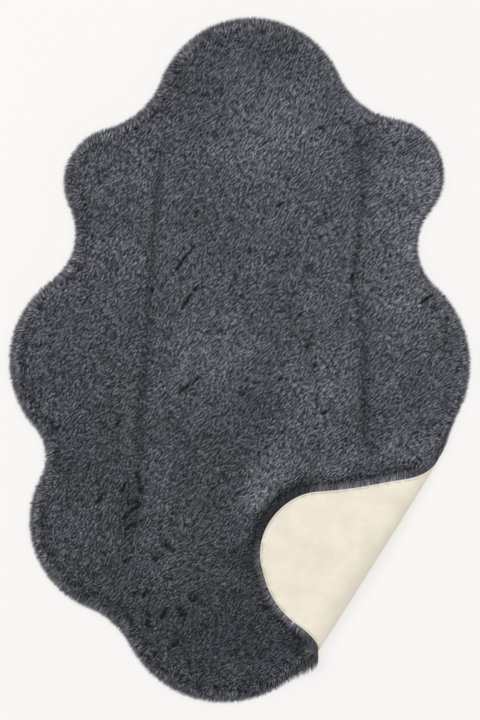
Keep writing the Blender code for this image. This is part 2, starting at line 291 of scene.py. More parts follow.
# Broad places of painted sheen and painted shade where the nap lies differently, with a painted
# shadow at the lower end of the fold, each as a natural exponent
NAP_SHEEN_AND_SHADE = table(
    "x y size tone",
    (0.070, 0.385, 0.085, 0.32),
    (-0.010, 0.358, 0.036, 0.26),
    (0.271, 0.392, 0.024, 0.30),
    (-0.165, 0.337, 0.050, 0.14),
    (-0.140, 0.420, 0.050, -0.10),
    (-0.100, 0.500, 0.026, -0.22),
    (-0.058, 0.556, 0.022, -0.34),
    (0.020, 0.575, 0.030, -0.14),
    (0.300, 0.300, 0.070, 0.44),
    (0.255, 0.235, 0.050, 0.12),
    (0.275, 0.120, 0.085, 0.30),
    (0.165, 0.215, 0.030, 0.14),
    (0.140, 0.080, 0.040, 0.16),
    (0.090, 0.050, 0.030, -0.22),
    (-0.235, 0.190, 0.060, 0.08),
    (-0.186, 0.165, 0.040, 0.15),
    (-0.270, 0.250, 0.024, -0.16),
    (0.022, 0.022, 0.020, 0.36),
    (0.118, 0.104, 0.022, 0.22),
    (0.146, 0.002, 0.024, 0.20),
    (0.188, 0.060, 0.020, -0.20),
    (0.228, 0.352, 0.022, -0.20),
    (0.316, 0.104, 0.022, -0.18),
    (0.312, 0.148, 0.022, -0.32),
    (0.271, 0.270, 0.022, -0.24),
    (-0.103, -0.021, 0.022, 0.26),
    (-0.186, -0.145, 0.024, 0.26),
    (-0.050, 0.000, 0.055, 0.36),
    (0.020, -0.100, 0.045, -0.26),
    (0.148, -0.050, 0.048, 0.28),
    (0.146, -0.130, 0.035, 0.22),
    (0.060, -0.185, 0.035, 0.46),
    (0.026, -0.232, 0.032, 0.70),
    (0.009, -0.345, 0.027, -0.56),
    (-0.144, -0.080, 0.035, 0.16),
    (-0.144, -0.185, 0.034, 0.38),
    (-0.150, -0.250, 0.026, 0.34),
    (-0.144, -0.340, 0.040, 0.20),
    (-0.190, -0.240, 0.030, -0.26),
    (-0.190, -0.285, 0.028, -0.36),
    (-0.240, -0.160, 0.130, -0.24),
    (-0.210, -0.390, 0.070, -0.30),
    (-0.269, -0.205, 0.026, -0.22),
    (-0.269, -0.394, 0.022, -0.24),
    (-0.200, -0.445, 0.034, -0.20),
    (-0.125, -0.477, 0.050, -0.26),
    (-0.050, -0.200, 0.080, -0.26),
    (-0.130, -0.320, 0.012, -0.50),
    (-0.147, -0.340, 0.010, -0.40),
    (0.000, -0.480, 0.130, -0.50),
    (0.060, 0.530, 0.050, -0.20),
    (-0.070, 0.480, 0.050, -0.16),
    (0.255, -0.170, 0.040, 0.16),
    (0.312, -0.165, 0.028, 0.28),
    (0.160, -0.190, 0.026, 0.24),
    (0.230, -0.090, 0.034, -0.14),
    (-0.055, -0.354, 0.026, -0.16),
    (-0.070, -0.535, 0.030, -0.16),
    (0.111, -0.496, 0.026, -0.75),
)
BROAD_SHADE = 0.14
BROAD_WAVE = Wave(0.055, 9)
PATCH_SHADE = 0.13
PATCH_WAVE = Wave(0.020, 13)

# Painted shade along a crease, a dark line in its trough, and how far it wavers
CREASE_PAINTED_SHADE = 0.50
CREASE_SHADE_HALF_WIDTH = 0.006
CREASE_WAVER = 0.003
CREASE_WAVE = Wave(0.012, 10)

# Under the flap's edge the pile is pressed lower and painted dark as shade, with a painted
# highlight on a paler ridge before it
PRESSED_PAINTED_SHADE = 0.45
RIDGE_PAINTED_HIGHLIGHT = 0.12

# How a parting darkens the pile with painted shade and pushes it, how it wavers, how it fades out
# towards its ends by a share of its length, and where noise closes it again
PARTING_PAINTED_SHADE = 3.0
PARTING_PUSH = 0.0012
PARTING_LOWERS = 0.35
PARTING_WAVER = 0.005
PARTING_WAVE = Wave(0.010, 11)
PARTING_FADE = Spread(0.35, 0.6)
PARTING_CLOSED = Spread(0.12, 0.42)
PARTING_CLOSING_WAVE = Wave(0.005, 14)

# How the heading of the strands wanders over the rug, and from strand to strand
SWIRLS = table(
    "turn size",
    (0.22, 0.16),
    (0.15, 0.03),
    (0.07, 0.009),
)
SWIRL_LAYER = 5
STRAND_STRAY = 0.12
LEAN_STRAY = 0.10

# Flecks are tufts of fibres that lie together; those that stand high are painted paler and the pits
# between them darker, as painted light and shade. Nicks are small places painted dark, as the shade
# where the nap stands open. Both are longer along the lay than across it.
Drawn = namedtuple("Drawn", "length width layer")
FLECK = Drawn(0.0054, 0.0013, 8)
NICK = Drawn(0.017, 0.007, 12)
NICK_PAINTED_SHADE = 0.9
NICK_OPENS = Spread(0.25, 0.65)
FLECK_LIGHT_AND_SHADE = 2.45
FLECK_LIGHTEST = 0.20
FLECK_RELIEF = 0.4
TUFT_PULL = 0.0010
PULL_STEP = 0.2
STRAND_SHADE = 1.02

# Strands: how deep their roots are sunk in the undercoat, how far they may lean, how
# unevenly they are cut, how wide they are, and their lowest tip and least rise
ROOT_SUNK = 0.0012
LEAN = Spread(0.2, 1.2)
TIP_CUT = Spread(0.86, 1.06)
WIDTH = Spread(0.75, 1.25)
TIP_LEAST = 0.0007
RISE_LEAST = 0.0012
EDGE_ROOT_DEPTH = 0.0005

# Where strands are out of sight, by how far the cloth is rolled, and how few stand there
HIDDEN_ROLL = 0.9
OPEN_ROLL = 0.5
HIDDEN_MARGIN = 0.030
HIDDEN_SHARE = 0.3

# A strand is a cone one unit wide and long: corners round its root, and one at its tip
STRAND_SIDES = 3
STRAND_CORNERS = STRAND_SIDES + 1

# The strands' bake map: the margin in a strand's cell, and the width of one side
BAKE_MAP = "OFBake"
CELL_MARGIN = 0.05
CELL_SIDE = 0.30

PILE_BANDS = 5
PILE_SEED = 23


# ---------------------------------------------------------------- outline

Arc = namedtuple("Arc", "centre radius start sweep")


def heading(vector):
    """Angle of a vector from the X axis."""
    return math.atan2(vector[1], vector[0])


def hollow_centre(first, second):
    """Centre of the hollow arc that touches two neighbouring lobes from outside."""
    start = np.array((first.x, first.y))
    span = np.array((second.x, second.y)) - start
    distance = np.hypot(*span)
    to_first = first.radius + first.valley
    to_second = second.radius + first.valley
    along = (distance**2 + to_first**2 - to_second**2) / (2.0 * distance)
    outward = math.sqrt(to_first**2 - along**2)
    unit = span / distance
    return start + along * unit + outward * np.array((unit[1], -unit[0]))


def edge_arcs():
    """The cut edge as arcs, counter-clockwise: each lobe and then the hollow after it."""
    count = len(LOBES)
    centres = [np.array((lobe.x, lobe.y)) for lobe in LOBES]
    hollows = [hollow_centre(LOBES[i], LOBES[(i + 1) % count]) for i in range(count)]
    arcs = []
    for i, lobe in enumerate(LOBES):
        start = heading(hollows[i - 1] - centres[i])
        sweep = (heading(hollows[i] - centres[i]) - start) % TURN
        arcs.append(Arc(centres[i], lobe.radius, start, sweep))
        start = heading(centres[i] - hollows[i])
        sweep = (heading(centres[(i + 1) % count] - hollows[i]) - start) % TURN - TURN
        arcs.append(Arc(hollows[i], lobe.valley, start, sweep))
    return arcs


EDGE_ARCS = edge_arcs()


def side_of(arc):
    """1 for a lobe, which bulges out of the rug, and -1 for a hollow."""
    return math.copysign(1.0, arc.sweep)


def edge_walk(inset, pitch):
    """Places and headings at even steps along the line that runs inset inside the edge."""
    sides = [side_of(arc) for arc in EDGE_ARCS]
    radii = [arc.radius - side * inset for arc, side in zip(EDGE_ARCS, sides)]
    lengths = [radius * abs(arc.sweep) for arc, radius in zip(EDGE_ARCS, radii)]
    count = round(sum(lengths) / pitch)
    stops = np.arange(count) * sum(lengths) / count
    places, headings = [], []
    begin = 0.0
    for arc, side, radius, length in zip(EDGE_ARCS, sides, radii, lengths):
        here = stops[(stops >= begin) & (stops < begin + length)] - begin
        angle = arc.start + side * here / radius
        spoke = np.column_stack((np.cos(angle), np.sin(angle)))
        places.append(arc.centre + radius * spoke)
        headings.append(side * np.column_stack((-spoke[:, 1], spoke[:, 0])))
        begin += length
    return np.concatenate(places), np.concatenate(headings)


def edge_field(points):
    """How deep each flat place lies inside the cut edge, and the unit way out of it."""
    depth = np.full(len(points), np.inf)
    outward = np.zeros((len(points), 2))
    for arc in EDGE_ARCS:
        side = side_of(arc)
        offset = points - arc.centre
        distance = np.hypot(offset[:, 0], offset[:, 1])
        angle = np.arctan2(offset[:, 1], offset[:, 0])
        travelled = (side * (angle - arc.start) + ARC_SLIP) % TURN
        gap = side * (arc.radius - distance)
        nearer = (travelled <= abs(arc.sweep) + 2.0 * ARC_SLIP) & (abs(gap) < abs(depth))
        depth[nearer] = gap[nearer]
        outward[nearer] = side * offset[nearer] / distance[nearer, None]
    return depth, outward


# ------------------------------------------------------------------- fold

def smooth_step(value, low, high):
    """0 below low, 1 above high, and a soft rise between them."""
    share = np.clip((value - low) / (high - low), 0.0, 1.0)
    return share * share * (3.0 - 2.0 * share)


def roll_radius(along):
    """Outer radius of the roll: fullest half way, tight where it leaves the edge."""
    share = np.clip((along - FOLD_FROM) / (FOLD_TO - FOLD_FROM), 0.0, 1.0)
    ends = ROLL_RADIUS_FROM + (ROLL_RADIUS_TO - ROLL_RADIUS_FROM) * share
    return ends + (ROLL_RADIUS_MIDDLE - ends) * np.sin(math.pi * share)


def flap_slope(along):
    """Angle at which the flap comes down from the roll to the pile."""
    return (2.0 * roll_radius(along) - FLAP_REST_HEIGHT) / FLAP_RUN


def roll_span(along):
    """Where the roll begins and where it ends, across the fold on the flat cloth."""
    radius = roll_radius(along)
    begin = FOLD_REACH - radius
    return begin, begin + radius * (math.pi + flap_slope(along))


def fold_section(along, across):
    """Place and heading of the backing's outer face in the plane of one section."""
    radius = roll_radius(along)
    slope = flap_slope(along)
    roll_start = FOLD_REACH - radius
    turned = math.pi + slope
    drop = radius * (1.0 + np.cos(slope)) - FLAP_REST_HEIGHT
    straight = (drop - FLAP_SETTLE_RADIUS * (1.0 - np.cos(slope))) / np.sin(slope)

    travel = across - roll_start
    on_roll = np.clip(travel / radius, 0.0, turned)
    on_slope = np.clip(travel - radius * turned, 0.0, straight)
    on_settle = np.clip((travel - radius * turned - straight) / FLAP_SETTLE_RADIUS, 0.0, slope)
    before = np.minimum(travel, 0.0)
    after = np.maximum(travel - radius * turned - straight - FLAP_SETTLE_RADIUS * slope, 0.0)

    settle_x = FLAP_SETTLE_RADIUS * (np.sin(slope) - np.sin(slope - on_settle))
    settle_z = FLAP_SETTLE_RADIUS * (np.cos(slope - on_settle) - np.cos(slope))
    x = roll_start + before + radius * np.sin(on_roll)
    x = x - on_slope * np.cos(slope) - settle_x - after
    z = radius * (1.0 - np.cos(on_roll)) - on_slope * np.sin(slope) - settle_z
    return x, z, on_roll - on_settle


def fold_over(points):
    """Flat points, with z as the height over the floor, placed on the folded rug."""
    along = points[:, :2] @ ALONG
    across = points[:, :2] @ NORMAL
    x, z, turned = fold_section(along, across)
    x = x - points[:, 2] * np.sin(turned)
    z = z + points[:, 2] * np.cos(turned)
    return np.column_stack((np.outer(along, ALONG) + np.outer(x, NORMAL), z))


def flap_point_above(points):
    """The flat place on the flap that comes to lie over each place of the rug."""
    along = points @ ALONG
    slope = flap_slope(along)
    roll_end_x = FOLD_REACH - roll_radius(along) * (1.0 + np.sin(slope))
    _, roll_end = roll_span(along)
    across = roll_end + (roll_end_x - points @ NORMAL) / np.cos(slope)
    return np.outer(along, ALONG) + np.outer(across, NORMAL)


def frame_shift():
    """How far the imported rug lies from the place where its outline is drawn."""
    places, _ = edge_walk(EDGE_SET_IN, OUTLINE_STEP)
    folded = fold_over(np.column_stack((places, np.zeros(len(places)))))
    low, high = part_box("backing")
    middle = 0.5 * (np.array(low) + np.array(high))
    return (*(middle - 0.5 * (folded.min(axis=0) + folded.max(axis=0)))[:2], 0.0)


FRAME_SHIFT = frame_shift()


# ------------------------------------------------------------------- pile

def ripple(points, size, layer):
    """Smooth noise over the flat cloth, from about -1 to 1, with lumps of this size."""
    return np.array([noise.noise(Vector((x, y, layer))) for x, y in points / size])


def read_rows(depth, rows, field):
    """One field of a table of rows, read at these depths inside the edge."""
    return np.interp(depth, [row.depth for row in rows], [getattr(row, field) for row in rows])


def crease_trough(points, half_width):
    """How deep each place lies in the packing creases, 0 to 1."""
    share = np.zeros(len(points))
    x, y = points.T
    for crease in CREASES:
        upwards = crease[::-1]
        near, far = upwards[0], upwards[-1]
        centre = np.interp(y, [place.y for place in upwards], [place.x for place in upwards])
        trough = np.exp(-(((x - centre) / half_width) ** 2))
        begins = smooth_step(y, near.y - CREASE_FADE, near.y + CREASE_FADE)
        ends = smooth_step(y, far.y - CREASE_FADE, far.y + CREASE_FADE)
        share += trough * begins * (1.0 - ends)
    return share


# What the fold does at each place: how far it is rolled, laid over, or pressed, 0 to 1
Folding = namedtuple("Folding", "roll flap pressed")


def folding_at(points):
    along, across = points @ ALONG, points @ NORMAL
    roll_start, roll_end = roll_span(along)
    margin = 0.5 * roll_radius(along)
    roll = smooth_step(across, roll_start - margin, roll_start + margin)
    flap = smooth_step(across, roll_end - margin, roll_end + margin)
    under, _ = edge_field(flap_point_above(points))
    pressed = smooth_step(under, -PRESSED_MARGIN, 0.0) * (1.0 - roll)
    return Folding(roll, flap, pressed)


def pile_height(points, folding):
    """Height of the pile over the outer face of the backing."""
    height = PILE_TOP + (PILE_TOP_UNDER_FLAP - PILE_TOP) * folding.pressed
    in_roll = np.minimum(PILE_TOP, PILE_SHARE_OF_ROLL * roll_radius(points @ ALONG))
    height = height + (in_roll - height) * folding.roll
    height = height + (PILE_TOP_ON_FLAP - height) * folding.flap
    relief = -CREASE_DEPTH * crease_trough(points, CREASE_HALF_WIDTH)
    for layer, lumps in enumerate(LUMPS):
        relief += lumps.height * ripple(points, lumps.size, layer)
    return height + relief * (1.0 - folding.pressed) * (1.0 - folding.roll)


# ----------------------------------------------------------------- meshes

def outline_face(bm, inset):
    """The cut outline, inset by a distance, as one face: a point spun round every arc."""
    first = EDGE_ARCS[0]
    radius = first.radius - side_of(first) * inset
    spoke = np.array((math.cos(first.start), math.sin(first.start)))
    last = bm.verts.new((*(first.centre + radius * spoke), 0.0))
    for arc in EDGE_ARCS:
        length = (arc.radius - math.copysign(inset, arc.sweep)) * abs(arc.sweep)
        spun = bmesh.ops.spin(
            bm, geom=[last], cent=(*arc.centre, 0.0), axis=(0.0, 0.0, 1.0),
            dvec=(0.0, 0.0, 0.0), angle=arc.sweep, steps=max(2, round(length / OUTLINE_STEP)),
        )
        last = next(item for item in spun["geom_last"] if isinstance(item, bmesh.types.BMVert))
    bmesh.ops.remove_doubles(bm, verts=bm.verts, dist=WELD)
    face = bmesh.ops.edgeloop_fill(bm, edges=bm.edges)["faces"][0]
    if face.normal.z < 0.0:
        face.normal_flip()
    return face


def cut_grid(bm, face, step):
    """Cut one flat face into cells that run with the fold, closer together on the roll."""
    corners = np.array([vert.co[:2] for vert in face.verts])
    along, across = corners @ ALONG, corners @ NORMAL
    roll_low = FOLD_REACH - ROLL_RADIUS_MIDDLE
    roll_high = FOLD_REACH + math.pi * ROLL_RADIUS_MIDDLE
    rows = np.concatenate((
        np.arange(roll_low - ROLL_STEP, across.min(), -step),
        np.arange(roll_low, roll_high, ROLL_STEP),
        np.arange(roll_high + ROLL_STEP, across.max(), step),
    ))
    cuts = [(column, ALONG) for column in np.arange(along.min() + step, along.max(), step)]
    cuts += [(row, NORMAL) for row in rows]
    geom = [face, *face.edges, *face.verts]
    for place, normal in cuts:
        cut = bmesh.ops.bisect_plane(
            bm, geom=geom, dist=WELD, plane_co=(*(place * normal), 0.0), plane_no=(*normal, 0.0),
        )
        geom = cut["geom"]


def cloth_slab(inset, ring_depths, heights, step):
    """A closed cloth on the rug's outline, folded over with the corner.

    ring_depths are the distances inside the cut edge at which rings run round it,
    and heights gives the lower and upper face's height from places and depths.
    """
    bm = bmesh.new()
    face = outline_face(bm, inset)
    for outer, inner in zip((inset, *ring_depths), ring_depths):
        bmesh.ops.inset_region(bm, faces=[face], thickness=inner - outer, use_even_offset=True)
    cut_grid(bm, face, step)
    raised = bmesh.ops.extrude_face_region(bm, geom=bm.faces[:])
    upper = [item for item in raised["geom"] if isinstance(item, bmesh.types.BMVert)]
    for vert in upper:
        vert.co.z = UPPER_MARK
    bmesh.ops.recalc_face_normals(bm, faces=bm.faces)
    bmesh.ops.triangulate(bm, faces=bm.faces)
    points = np.array([vert.co[:] for vert in bm.verts])
    depth, _ = edge_field(points[:, :2])
    low, high = heights(points[:, :2], depth)
    points[:, 2] = np.where(points[:, 2] == UPPER_MARK, high, low)
    place_verts(bm, points)
    return bm


def place_verts(bm, flat):
    """Fold these flat points, one for each vert, and set the verts there."""
    for vert, position in zip(bm.verts, fold_over(flat) + FRAME_SHIFT):
        vert.co = position


def add_object(name, data):
    added = bpy.data.objects.new(name, data)
    bpy.context.scene.collection.objects.link(added)
    return added


def mesh_from(bm, name):
    mesh = bpy.data.meshes.new(name)
    bm.to_mesh(mesh)
    bm.free()
    return mesh


def add_piece(mesh, material):
    """Make one of the rug's pieces from a mesh: smooth, and riding on its body."""
    mesh.shade_smooth()
    mesh.materials.clear()
    mesh.materials.append(material)
    piece = add_object(mesh.name, mesh)
    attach(piece, "root")
    return piece


def flat_size():
    """Width, length and area of the flat cut outline."""
    places, _ = edge_walk(0.0, OUTLINE_STEP)
    width, length = places.max(axis=0) - places.min(axis=0)
    after = np.roll(places, -1, axis=0)
    area = 0.5 * np.sum(places[:, 0] * after[:, 1] - after[:, 0] * places[:, 1])
    return (width, length), area


# ---------------------------------------------------------------- backing

def backing_heights(points, depth):
    """The suede's outer face, with its rounded edge and stitched groove, and inner face."""
    from_edge = depth - EDGE_SET_IN
    on_edge = from_edge < 0.5 * RIM[1].depth
    high = np.where(on_edge, RIM_INNER_HEIGHT, BACKING_THICKNESS)
    return read_rows(from_edge, RIM, "height"), high


def make_backing(suede):
    rings = [EDGE_SET_IN + point.depth for point in RIM[1:]]
    bm = cloth_slab(EDGE_SET_IN, rings, backing_heights, GRID_STEP)
    backing = add_piece(mesh_from(bm, "suede_backing"), suede_material(suede))
    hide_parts("backing")
    return backing


def make_topstitch(suede):
    """One row of small stitches, each a pointed grain of thread lying in the groove."""
    bm = bmesh.new()
    groove = max(RIM[1:], key=lambda point: point.height)
    places, headings = edge_walk(EDGE_SET_IN + groove.depth, suede.stitch_pitch)
    half_length, half_width = 0.5 * suede.stitch_length, 0.5 * suede.thread_width
    for place, way in zip(places, headings):
        stitch = bmesh.ops.create_uvsphere(bm, u_segments=6, v_segments=4, radius=1.0)["verts"]
        # The sphere's poles turn to lie along the seam
        for vert in stitch:
            wide, tall = half_width * vert.co.x, half_width * vert.co.y
            long = half_length * vert.co.z
            vert.co = (
                place[0] + way[0] * long - way[1] * wide,
                place[1] + way[1] * long + way[0] * wide,
                groove.height + tall,
            )
    place_verts(bm, np.array([vert.co[:] for vert in bm.verts]))
    bmesh.ops.recalc_face_normals(bm, faces=bm.faces)
    stitches = add_piece(mesh_from(bm, "edge_topstitch"), thread_material(suede))
    return stitches


# ------------------------------------------------------------ plush cloth

def coat_heights(points, depth):
    """Underside and top of the base cloth with the dense lower part of its pile."""
    height = pile_height(points, folding_at(points))
    return read_rows(depth, COAT, "low"), read_rows(depth, COAT, "share") * height


def make_undercoat(pile):
    bm = cloth_slab(COAT[0].depth, [point.depth for point in COAT[1:]], coat_heights, GRID_STEP)
    coat = add_piece(mesh_from(bm, "plush_undercoat"), undercoat_material(pile))
    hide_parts("fur")
    return coat


# ----------------------------------------------------------------- strands

# Seeds of the strands: flat places and root heights, the way and length of each strand as a vector,
# its width, its tint, which carries painted light and shade besides its own tone, and how pale it
# already is at the root, where that share of the painted root shade is taken away
Seeds = namedtuple("Seeds", "root lay width tint pale")


# Height of a triangle with sides of 1: staggered rows lie this much closer than columns
TRIANGLE_HEIGHT = math.sqrt(0.75)


def even_places(pitch, jitter, random):
    """Flat places all over the cut rug, in staggered rows, each a little astray."""
    outline, _ = edge_walk(0.0, OUTLINE_STEP)
    low, high = outline.min(axis=0), outline.max(axis=0)
    columns = np.arange(low[0], high[0], pitch)
    rows = np.arange(low[1], high[1], pitch * TRIANGLE_HEIGHT)
    grid_x, grid_y = np.meshgrid(columns, rows)
    grid_x[1::2] += 0.5 * pitch
    points = np.column_stack((grid_x.ravel(), grid_y.ravel()))
    points += pitch * jitter * random.uniform(-1.0, 1.0, points.shape)
    depth, _ = edge_field(points)
    return points[depth > EDGE_ROOT_DEPTH]


def out_of_sight(points, depth, folding):
    """Places whose pile no one sees: inside the roll, and between the flap and the rug."""
    under, _ = edge_field(flap_point_above(points))
    in_roll = folding.roll > HIDDEN_ROLL
    covered = (under > HIDDEN_MARGIN) & (folding.roll < OPEN_ROLL)
    return (in_roll | covered) & (depth > HIDDEN_MARGIN)


def line_and_side(angle):
    """The unit vector with this heading, and the one square to it."""
    line = np.array((math.cos(angle), math.sin(angle)))
    return line, np.array((-line[1], line[0]))


def parting_at(points):
    """How strongly the pile is parted at each place, 0 to 1, and the way it is pushed."""
    strength = np.zeros(len(points))
    push = np.zeros((len(points), 2))
    points = points + PARTING_WAVER * ripple(points, *PARTING_WAVE)[:, None]
    fade_from, fade_to = PARTING_FADE
    for parting in PARTINGS:
        line, side = line_and_side(math.radians(parting.heading))
        offset = points - (parting.x, parting.y)
        along, across = offset @ line, offset @ side
        near = np.exp(-((across / parting.width) ** 2))
        near *= 1.0 - smooth_step(
            abs(along), fade_from * parting.length, fade_to * parting.length)
        push += np.outer(near * np.sign(across), side)
        strength = np.maximum(strength, near)
    open_share = 1.0 - smooth_step(ripple(points, *PARTING_CLOSING_WAVE), *PARTING_CLOSED)
    return strength * open_share, push * open_share[:, None]


def drawn_ripple(points, lay_heading, drawn):
    """Noise drawn out along the lay, with lumps of this length and width."""
    line, side = line_and_side(lay_heading)
    stretched = np.column_stack((points @ line / drawn.length, points @ side / drawn.width))
    return ripple(stretched, 1.0, drawn.layer)


def tuft_pull(points, fleck, lay_heading):
    """How far the tips are drawn together into tufts, towards the paler flecks."""
    step = PULL_STEP * FLECK.width
    rise_x = drawn_ripple(points + (step, 0.0), lay_heading, FLECK) - fleck
    rise_y = drawn_ripple(points + (0.0, step), lay_heading, FLECK) - fleck
    return TUFT_PULL * np.column_stack((rise_x, rise_y)) / PULL_STEP


def flap_painted_shadow(points):
    """How much painted shadow lies on the pile beside the part of the flap's edge that faces up."""
    above = flap_point_above(points)
    depth, outward = edge_field(above)
    near = 1.0 - smooth_step(-depth, *BAND_REACH)
    return near * facing_on_flap(above, outward, FACING_FOR_DARK)


def facing_on_flap(places, outward, facing):
    """How far an edge on the flap lies on the pile and faces up the rug, 0 to 1."""
    _, roll_end = roll_span(places @ ALONG)
    lies = smooth_step(places @ NORMAL - roll_end, *FLAP_LIES)
    laid_over = outward - 2.0 * np.outer(outward @ NORMAL, NORMAL)
    way, _ = line_and_side(BAND_HEADING)
    return (BAND_LEAST + (1.0 - BAND_LEAST) * lies) * smooth_step(laid_over @ way, *facing)


def near_fold_tip(points):
    """How near each place lies to the lower end of the fold, 0 to 1."""
    tip = FOLD_TIP_ALONG * ALONG + FOLD_TIP_ACROSS * NORMAL
    distance = np.hypot(*(points - tip).T)
    return np.exp(-((distance / FOLD_TIP_SPREAD) ** 2))


def lean_of_fold_tip(points):
    """How far the fringe beyond the lower end of the fold leans out from under it."""
    depth, _ = edge_field(points)
    beyond = np.maximum(-depth, 0.0) * near_fold_tip(points)
    return np.column_stack((np.outer(FOLD_TIP_LEAN * beyond, NORMAL), np.zeros(len(points))))


def tone_at(points, folding, lay_heading):
    """How pale the nap is painted at each place, with its painted light and shade, as a natural
    exponent.
    """
    tone = BROAD_SHADE * ripple(points, *BROAD_WAVE) + PATCH_SHADE * ripple(points, *PATCH_WAVE)
    # Painted shade in the nicks
    tone -= NICK_PAINTED_SHADE * smooth_step(drawn_ripple(points, lay_heading, NICK), *NICK_OPENS)
    # Painted shade: a dark line along the trough of each crease
    wavering = points + CREASE_WAVER * ripple(points, *CREASE_WAVE)[:, None]
    tone -= CREASE_PAINTED_SHADE * crease_trough(wavering, CREASE_SHADE_HALF_WIDTH)
    # Painted sheen and shade of the nap in broad places
    for nap_spot in NAP_SHEEN_AND_SHADE:
        offset = points - (nap_spot.x, nap_spot.y)
        tone += nap_spot.tone * np.exp(-(offset**2).sum(axis=1) / nap_spot.size**2)
    # 1 half way into the pressed place, and 0 at both ends of the way; the ridge's painted
    # highlight follows it
    ridge = folding.pressed * (1.0 - folding.pressed) * 4.0
    # Painted shadow of the flap on the pile beside its upper edge
    tone -= FLAP_SHADOW_SHADE * flap_painted_shadow(points) * (1.0 - folding.roll)
    # Painted shade where the flap's edge presses the pile, and the ridge's painted highlight
    return tone - PRESSED_PAINTED_SHADE * folding.pressed**2 + RIDGE_PAINTED_HIGHLIGHT * ridge


def way_out(outward, lay_heading):
    """The way strands at the edge lean: out of it, but drawn to the line of the lay."""
    line, _ = line_and_side(lay_heading)
    return outward + LAY_HELD * np.outer(np.tanh(LAY_TURN * (outward @ line)), line)


def seen_places(pile, random):
    """Places for the strands of the field, with few of those that no one sees."""
    points = even_places(pile.strand_pitch, pile.strand_jitter, random)
    depth, outward = edge_field(points)
    folding = folding_at(points)
    hidden = out_of_sight(points, depth, folding)
    keep = ~hidden | (random.uniform(0.0, 1.0, len(points)) < HIDDEN_SHARE)
    return points[keep], depth[keep], outward[keep], Folding(*(value[keep] for value in folding))


def field_ways(points, outward, leans_out, lay_heading, random):
    """The way in which each strand leans: with the lay, or out of the edge."""
    out_way = way_out(outward, lay_heading)
    turn = np.where(leans_out, np.arctan2(out_way[:, 1], out_way[:, 0]), lay_heading)
    for layer, swirl in enumerate(SWIRLS, start=SWIRL_LAYER):
        turn += swirl.turn * ripple(points, swirl.size, layer)
    turn += random.normal(0.0, STRAND_STRAY, len(points))
    return np.column_stack((np.cos(turn), np.sin(turn)))


def field_seeds(pile, random):
    """Strands that stand in the cloth, all over the rug."""
    points, depth, outward, folding = seen_places(pile, random)
    count = len(points)
    parted, push = parting_at(points)
    fleck = drawn_ripple(points, pile.lay_heading, FLECK)

    height = pile_height(points, folding)
    root = read_rows(depth, COAT, "share") * height - ROOT_SUNK
    tip = read_rows(depth, PILE_AT_EDGE, "share") * height * random.uniform(*TIP_CUT, count)
    tip *= 1.0 + FLECK_RELIEF * fleck
    rise = np.maximum((tip - root) * (1.0 - PARTING_LOWERS * parted), RISE_LEAST)

    uneven = ripple(points, *SPLAY_WAVE) + random.uniform(-0.5, 0.5, count)
    splay = 1.0 - smooth_step(depth + SPLAY_UNEVENNESS * uneven, 0.0, SPLAY_DEPTH)
    leans_out = random.uniform(0.0, 1.0, count) < splay
    way = field_ways(points, outward, leans_out, pile.lay_heading, random)
    lean = pile.strand_lean + random.normal(0.0, LEAN_STRAY, count)
    reach = rise * np.tan(np.clip(lean, *LEAN))
    edge_reach = random.uniform(*EDGE_REACH, count)
    flat = way * (reach + (edge_reach - reach) * splay * leans_out)[:, None]
    flat = flat * (1.0 - parted)[:, None] + push * PARTING_PUSH
    flat += tuft_pull(points, fleck, pile.lay_heading)

    tone = tone_at(points, folding, pile.lay_heading)
    # Painted light on the tufts that stand high and painted shade in the pits between them, and
    # painted shade in the partings
    tone += FLECK_LIGHT_AND_SHADE * np.minimum(fleck, FLECK_LIGHTEST) - PARTING_PAINTED_SHADE * parted**2
    tone -= random.exponential(STRAND_SHADE, count)
    return Seeds(
        np.column_stack((points, root)),
        np.column_stack((flat, rise)),
        pile.strand_width * random.uniform(*WIDTH, count),
        np.exp(tone),
        EDGE_PALE * splay,
    )


def rim_row_seeds(number, row, pile, random):
    """One row of the strands that clothe the side of the pile."""
    places, headings = edge_walk(row.depth, RIM_PITCH)
    places = places + random.normal(0.0, RIM_PLACE_STRAY, places.shape)
    outward = np.column_stack((headings[:, 1], -headings[:, 0]))
    count = len(places)
    folding = folding_at(places)

    tuft = ripple(places, RIM_TUFT_WAVE.size, RIM_TUFT_WAVE.layer + number)
    swing = RIM_TUFT_SWING * tuft + random.normal(0.0, STRAND_STRAY, count)
    uneven = ripple(places, RIM_REACH_WAVE.size, RIM_REACH_WAVE.layer + number)
    reach = (row.reach + row.depth) * (1.0 + RIM_UNEVENNESS * (1.0 + folding.flap) * uneven)
    reach *= random.uniform(*RIM_REACH, count)
    reach *= 1.0 + FOLD_TIP_FULLNESS * near_fold_tip(places)
    out_way = way_out(outward, pile.lay_heading)
    out_way /= (out_way * outward).sum(axis=1)[:, None]
    flat = (out_way + headings * swing[:, None]) * reach[:, None]
    rise = row.tip - row.root + random.normal(0.0, RIM_TIP_STRAY, count)

    # Painted light on the flap's fringe where it faces down the rug, and painted shade where it
    # faces up
    pale = FLAP_RIM_PAINTED_LIGHT * (1.0 - facing_on_flap(places, outward, FACING_FOR_PALE))
    dark = FLAP_RIM_PAINTED_SHADE * facing_on_flap(places, outward, FACING_FOR_DARK)
    tone = RIM_TONE + RIM_TUFT_SHADE * tuft + folding.flap * (pale - dark)
    # Side strands on the roll are darkened as painted shade
    tone -= ROLL_RIM_PAINTED_SHADE * folding.roll * (1.0 - folding.flap)
    return Seeds(
        np.column_stack((places, np.full(count, row.root))),
        np.column_stack((flat, np.maximum(rise, TIP_LEAST - row.root))),
        pile.strand_width * random.uniform(*RIM_WIDTH, count),
        np.exp(tone - random.exponential(STRAND_SHADE, count)),
        np.full(count, row.pale),
    )


